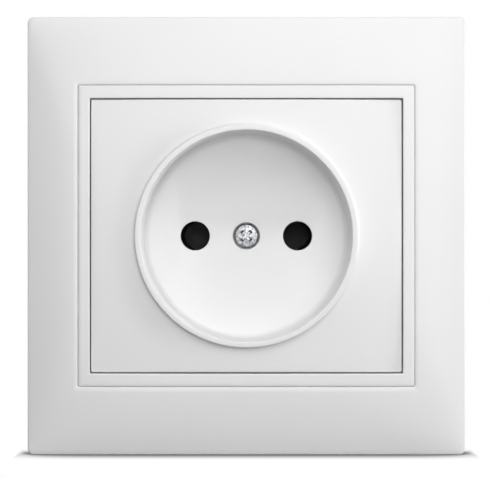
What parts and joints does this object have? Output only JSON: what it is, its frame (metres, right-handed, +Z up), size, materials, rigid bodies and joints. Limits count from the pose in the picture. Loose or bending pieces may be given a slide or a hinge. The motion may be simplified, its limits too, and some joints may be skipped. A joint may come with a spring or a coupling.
{
  "type": "unearthed wall socket",
  "caption": "Square flush wall socket for two round pins without earth: pillowed frame, trim, plate with round well, and a mechanism with spreading claws.",
  "frame": {"origin": "centre of the cover frame on the wall's surface, midway between the box screws", "axes": "+X to the right, +Y into the wall, +Z up; the front faces -Y"},
  "size_m": [0.08, 0.0356, 0.08],
  "materials": {
    "white_cover_plastic": "gloss",
    "body_plastic": "satin",
    "zinc_steel": "zinc plated",
    "spring_steel": "satin",
    "contact_brass": "satin"
  },
  "bodies": {
    "socket": {"base": "body_plastic", "centre_insert": "contact_brass", "centre_plate": "white_cover_plastic", "centre_screw": "zinc_steel", "claw_pin_left": "zinc_steel", "claw_pin_right": "zinc_steel", "contact_left": "contact_brass", "contact_right": "contact_brass", "contact_spring_left": "spring_steel", "contact_spring_right": "spring_steel", "cover_frame": "white_cover_plastic", "rear_cover": "body_plastic", "rivet_lower": "zinc_steel", "rivet_upper": "zinc_steel", "support_plate": "zinc_steel", "terminal_block_left": "contact_brass", "terminal_block_right": "contact_brass", "terminal_screw_left": "zinc_steel", "terminal_screw_right": "zinc_steel", "trim_frame": "white_cover_plastic"},
    "claw_left_body": {"claw_left": "zinc_steel"},
    "nut_left_body": {"claw_nut_left": "zinc_steel"},
    "screw_left_body": {"claw_screw_left": "zinc_steel"},
    "claw_right_body": {"claw_right": "zinc_steel"},
    "nut_right_body": {"claw_nut_right": "zinc_steel"},
    "screw_right_body": {"claw_screw_right": "zinc_steel"}
  },
  "joints": [
    {"name": "claw_screw_turn_left", "type": "hinge", "parent": "socket", "child": "screw_left_body", "pos_m": [-0.0236, 0, 0], "axis": [0, 1, 0], "range_deg": [0, 936]},
    {"name": "claw_nut_travel_left", "type": "slide", "parent": "socket", "child": "nut_left_body", "axis": [0, -1, 0], "range_m": [0, 0.0013]},
    {"name": "claw_swing_left", "type": "hinge", "parent": "socket", "child": "claw_left_body", "pos_m": [-0.0202, 0.0052, 0], "axis": [0, 0, 1], "range_deg": [0, 25]},
    {"name": "claw_screw_turn_right", "type": "hinge", "parent": "socket", "child": "screw_right_body", "pos_m": [0.0236, 0, 0], "axis": [0, 1, 0], "range_deg": [0, 936]},
    {"name": "claw_nut_travel_right", "type": "slide", "parent": "socket", "child": "nut_right_body", "axis": [0, -1, 0], "range_m": [0, 0.0013]},
    {"name": "claw_swing_right", "type": "hinge", "parent": "socket", "child": "claw_right_body", "pos_m": [0.0202, 0.0052, 0], "axis": [0, 0, -1], "range_deg": [0, 25]}
  ],
  "couplings": [
    {"joint": "claw_screw_turn_left", "follows": "claw_nut_travel_left", "rad_per_m": 12566},
    {"joint": "claw_swing_left", "follows": "claw_nut_travel_left", "rad_per_m": 335.6},
    {"joint": "claw_screw_turn_right", "follows": "claw_nut_travel_right", "rad_per_m": 12566},
    {"joint": "claw_swing_right", "follows": "claw_nut_travel_right", "rad_per_m": 335.6}
  ]
}
